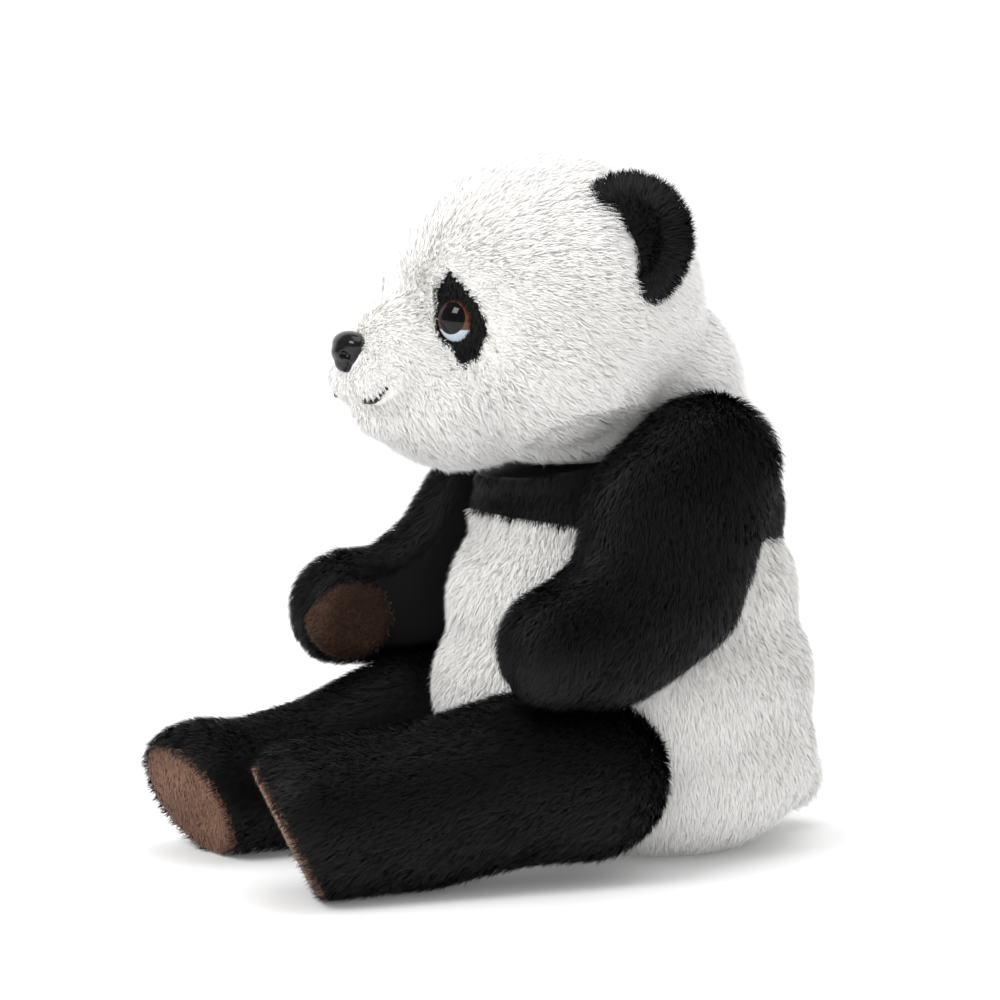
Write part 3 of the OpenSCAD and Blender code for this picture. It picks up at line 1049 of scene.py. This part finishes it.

# %% [markdown]
# ## The eyes
# A safety eye is a moulded dome on a shank. Its brown iris and black pupil are printed behind clear plastic,
# and under the pupil a pale crescent is painted in as a reflection. The dome is a ball cut off by a plane.
# Its map lays the face of the eye flat across it, and the material draws the rings and the painted reflection
# on that map.

# %% Mould the eyes
EYE_TALL = 5.0
EYE_BALL = (EYE_WIDE ** 2 + EYE_TALL ** 2) / (2 * EYE_TALL)
PUPIL_AT = (0.045, 0.055)
PUPIL_WIDE = 0.355
IRIS_WIDE = 0.49
# The pale crescent under the pupil is a painted reflection: its top edge and the softness of that edge.
REFLECTION_TOP = 0.315
REFLECTION_SOFT = 0.02
SHANK_THICK = 3.6
SHANK_LONG = 14


def ring_mask(tree, where, centre, radius, soft):
    """One inside a circle on the map and zero outside it."""
    away = tree.nodes.new("ShaderNodeVectorMath")
    away.operation = "DISTANCE"
    tree.links.new(where, away.inputs[0])
    away.inputs[1].default_value = (0.5 + centre[0], 0.5 + centre[1], 0)
    mask = tree.nodes.new("ShaderNodeMapRange")
    set_inputs(mask, {"From Min": radius + soft, "From Max": radius - soft})
    tree.links.new(away.outputs["Value"], mask.inputs["Value"])
    return mask.outputs["Result"]


def colour_node(tree, colour):
    node = tree.nodes.new("ShaderNodeRGB")
    node.outputs[0].default_value = (*colour, 1)
    return node.outputs[0]


eye_plastic, eye_tree, eye_shader = plain_material("eye_plastic_dome", (0.1, 0.03, 0.01), 0.07)
set_inputs(eye_shader, {"Specular IOR Level": 0.25, "Coat Weight": 0.08, "Coat Roughness": 0.03})
eye_map = eye_tree.nodes.new("ShaderNodeUVMap")
eye_map.uv_map = "EyeFace"
iris_noise = eye_tree.nodes.new("ShaderNodeTexNoise")
set_inputs(iris_noise, {"Scale": 9})
eye_tree.links.new(eye_map.outputs["UV"], iris_noise.inputs["Vector"])
iris = mix_colours(eye_tree, iris_noise.outputs["Fac"], colour_node(eye_tree, (0.085, 0.025, 0.013)),
                   colour_node(eye_tree, (0.15, 0.050, 0.027)))
axes = eye_tree.nodes.new("ShaderNodeSeparateXYZ")
eye_tree.links.new(eye_map.outputs["UV"], axes.inputs[0])
# Below a line across the eye, a pale blue is painted in as a reflection on the lower part of the dome.
reflection_mask = eye_tree.nodes.new("ShaderNodeMapRange")
set_inputs(reflection_mask, {"From Min": REFLECTION_TOP, "From Max": REFLECTION_TOP - REFLECTION_SOFT})
eye_tree.links.new(axes.outputs["Y"], reflection_mask.inputs["Value"])
with_painted_reflection = mix_colours(eye_tree, reflection_mask.outputs["Result"], iris,
                            colour_node(eye_tree, (0.50, 0.58, 0.66)))
inner = ring_mask(eye_tree, eye_map.outputs["UV"], (0, 0), IRIS_WIDE, 0.008)
with_edge = mix_colours(eye_tree, inner, colour_node(eye_tree, (0.02, 0.008, 0.005)), with_painted_reflection)
pupil = ring_mask(eye_tree, eye_map.outputs["UV"], PUPIL_AT, PUPIL_WIDE, 0.006)
with_pupil = mix_colours(eye_tree, pupil, with_edge, colour_node(eye_tree, (0.0035, 0.003, 0.003)))
eye_tree.links.new(with_pupil, eye_shader.inputs["Base Color"])


eye_pieces = {}
for side, sign in SIDES:
    out = Vector(eye_ways(sign)[1])
    rim = Vector(on_side(EYE, sign)) + out * (eye_depth[side] - 0.6)
    deselect()
    bpy.ops.mesh.primitive_uv_sphere_add(segments=64, ring_count=48, radius=EYE_BALL * MM)
    dome = bpy.context.active_object
    dome.name = side + "_eye_dome"
    dome.data.name = dome.name
    dome.rotation_euler = out.to_track_quat("Z", "Y").to_euler()
    dome.location = (rim + out * (EYE_TALL - EYE_BALL)) * MM
    fix_transform()
    cut_plane(dome, tuple(rim), tuple(out), keep_above=True)
    bpy.ops.mesh.primitive_cylinder_add(vertices=32, radius=SHANK_THICK / 2 * MM, depth=SHANK_LONG * MM)
    shank = bpy.context.active_object
    shank.rotation_euler = out.to_track_quat("Z", "Y").to_euler()
    shank.location = (rim - out * (SHANK_LONG / 2 - 0.2)) * MM
    fix_transform()
    pick(dome, shank)
    bpy.ops.object.join()
    bpy.ops.object.shade_smooth_by_angle(angle=math.radians(40))
    mesh = dome.data
    layer = only_map(mesh, "EyeFace")
    flat = np.column_stack(eye_plane(vectors_of(mesh.vertices, "co"), sign)[:2])
    corner = np.empty(len(mesh.loops), np.int32)
    mesh.loops.foreach_get("vertex_index", corner)
    uv = 0.5 + flat[corner] / (2 * EYE_WIDE + 0.4)
    layer.data.foreach_set("uv", uv.astype(np.float32).ravel())
    mesh.materials.append(eye_plastic)
    eye_pieces[side] = dome
print("Each eye has", len(eye_pieces["left"].data.polygons), "faces")

# %% [markdown]
# ## The nose
# The nose is one moulded piece of black plastic: a wide bar at the top that narrows to a round tip below,
# with a slanted oval nostril on each side. Lumps are wrapped in a fine skin, and one turned lump is cut out
# for each nostril. A last remesh rounds the rims of the cuts.

# %% Mould the nose
NOSE_BEADS = [((0, -117.2, 208.8), (10.2, 6.4, 5.4)), ((0, -118.2, 205.8), (8.6, 6.2, 5.6)),
              ((0, -118.6, 202.0), (4.8, 5.0, 4.4))]
NOSTRIL = ((6.0, -122.6, 205.0), (2.5, 3.0, 1.7))
NOSTRIL_SLANT = 25
nose_plastic, nose_tree, nose_shader = plain_material("nose_plastic_gloss", (0.006, 0.006, 0.007), 0.2)
set_inputs(nose_shader, {"Specular IOR Level": 0.3, "Coat Weight": 0.2, "Coat Roughness": 0.12})
noise_colours(nose_tree, nose_shader, 900, (0.004, 0.004, 0.005), (0.009, 0.009, 0.010), detail=2.0)
nose_piece = wrap("nose_moulding", make_lumps(NOSE_BEADS), voxel=0.7, rounds=4)
for sign in (1, -1):
    cut_out(nose_piece, lump(on_side(NOSTRIL[0], sign), NOSTRIL[1], turn=(0, sign * NOSTRIL_SLANT, 0)))
soften(nose_piece, voxel=0.45)
nose_piece.data.materials.clear()
nose_piece.data.materials.append(nose_plastic)
print("The nose has", len(nose_piece.data.polygons), "faces")

# %% [markdown]
# ## The smile
# The mouth is embroidered: short threads laid closely side by side across the line of the smile. Each thread
# is a small rounded stitch, and together they make a smooth raised cord.

# %% Embroider the smile
thread, thread_tree, thread_shader = plain_material("black_stitches", (0.012, 0.010, 0.010), 0.55)
noise_colours(thread_tree, thread_shader, 1500, (0.006, 0.005, 0.005), (0.022, 0.018, 0.017), detail=2.0)
STITCHES = 20
STITCH_RADII = (0.6, 0.95, 1.15)
STITCH_TAPER = 0.3
LOOK_AHEAD = 0.02
LAST_SLOPE = 50
stitch_balls = []
for sign in (1, -1):
    for step in range(STITCHES):
        t = step / (STITCHES - 1)
        spot = smile_point(t, sign)
        slope = LAST_SLOPE
        if t < 1:
            ahead = smile_point(min(t + LOOK_AHEAD, 1.0), sign)
            slope = math.degrees(math.atan2(ahead.z - spot.z, abs(ahead.x) - abs(spot.x)))
        deselect()
        bpy.ops.mesh.primitive_uv_sphere_add(segments=10, ring_count=8, radius=1, location=spot * MM)
        ball = bpy.context.active_object
        ball.scale = place(STITCH_RADII[0], STITCH_RADII[1], STITCH_RADII[2] - STITCH_TAPER * t)
        ball.rotation_euler = (0, math.radians(-sign * slope), 0)
        stitch_balls.append(ball)
pick(*stitch_balls)
bpy.ops.object.join()
smile_piece = bpy.context.active_object
smile_piece.name = "smile_stitches"
fix_transform()
bpy.ops.object.shade_smooth()
smile_piece.data.materials.append(thread)
print("The smile has", len(stitch_balls), "stitches")

# %% [markdown]
# ## The ears
# An ear is two round pieces of fur sewn together and turned, with its front pressed in like a shallow cup. A
# flat lump gives the disc, and a second one is cut out of its front.

# %% Shape the ears
EAR_AT = (52, -22, 249.2)
EAR_WIDE = 25
EAR_THICK = 8
EAR_LEAN = (-8, 32, 34)
CUP_FORWARD = 8
CUP_WIDE = EAR_WIDE * 0.72
CUP_THICK = EAR_THICK * 0.9
ear_pieces = {}
for side, sign in SIDES:
    lean = (EAR_LEAN[0], sign * EAR_LEAN[1], sign * EAR_LEAN[2])
    front = Euler([math.radians(v) for v in lean]).to_matrix() @ Vector((0, -1, 0))
    centre = Vector(on_side(EAR_AT, sign))
    disc = lump(centre, (EAR_WIDE, EAR_THICK, EAR_WIDE), lean)
    cut_out(disc, lump(centre + front * CUP_FORWARD, (CUP_WIDE, CUP_THICK, CUP_WIDE), lean))
    skin = wrap(side + "_ear_fur", [disc], voxel=1.6, rounds=5)
    spread = np.array(centre) * MM

    def ear_nap(roots, up, spread=spread):
        return roots - spread

    coat = plant(skin, black_fur, ear_nap, length=5.5, density=2.0, seed=61, tuft_size=4,
                 keep=not_buried(HEAD_BEADS, -3.0))
    ear_pieces[side] = furry(skin, black_fur, coat)

# %% [markdown]
# ## Riding on the bodies
# The toy moves as six bodies. Each new piece rides on one of them and stands in for its plain CAD shape.
# For a pair, a second helper does the left one and then the right one.

# %% Ride on the bodies
def stand_in(piece, body, node):
    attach(piece, body)
    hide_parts(node)


def pair_stands_in(pieces, body, node):
    """Both pieces of a pair. The word side in a name stands for left or right."""
    for side, sign in SIDES:
        stand_in(pieces[side], body.replace("side", side), node.replace("side", side))


stand_in(head_piece, "head", "head_cover")
stand_in(muzzle_piece, "head", "muzzle_cover")
pair_stands_in(patch_pieces, "head", "side_eye_patch")
pair_stands_in(ear_pieces, "head", "side_ear")
stand_in(torso_piece, "torso", "torso_cover")
stand_in(yoke_piece, "torso", "shoulder_yoke")
stand_in(tail_piece, "torso", "tail")
pair_stands_in(arm_pieces, "side_arm", "side_arm_cover")
pair_stands_in(palm_pieces, "side_arm", "side_palm_pad")
pair_stands_in(leg_pieces, "side_leg", "side_leg_cover")
pair_stands_in(sole_pieces, "side_leg", "side_sole_pad")
pair_stands_in(eye_pieces, "head", "side_eye")
stand_in(nose_piece, "head", "nose")
stand_in(smile_piece, "head", "mouth_thread")
stand_in(head_core, "head", "head_stuffing")
stand_in(torso_core, "torso", "torso_stuffing")
pair_stands_in(arm_cores, "side_arm", "side_arm_stuffing")
pair_stands_in(leg_cores, "side_leg", "side_leg_stuffing")

# %% [markdown]
# ## The parts that stay as they are
# The lock washers and the bag of plastic beads are hidden inside, and their CAD shapes are right. They only
# get their finishes: smooth pale plastic, and a plain woven cotton.

# %% Finish the hidden parts
washer_plastic, washer_tree, washer_shader = plain_material("washer_plastic_pale", (0.8, 0.78, 0.7), 0.35)
noise_colours(washer_tree, washer_shader, 600, (0.74, 0.72, 0.64), (0.84, 0.82, 0.75), detail=2.0)
bead_cloth, bead_tree, bead_shader = plain_material("bead_bag_cotton", (0.62, 0.55, 0.45), 0.9)
noise_colours(bead_tree, bead_shader, 1800, (0.52, 0.45, 0.36), (0.70, 0.63, 0.52), detail=3.0)
for node, material in (("left_eye_washer", washer_plastic), ("right_eye_washer", washer_plastic),
                       ("nose_washer", washer_plastic), ("pellet_bag", bead_cloth)):
    part = bpy.data.objects[node]
    part.data.materials.clear()
    part.data.materials.append(material)
    print(node, "gets", material.name)
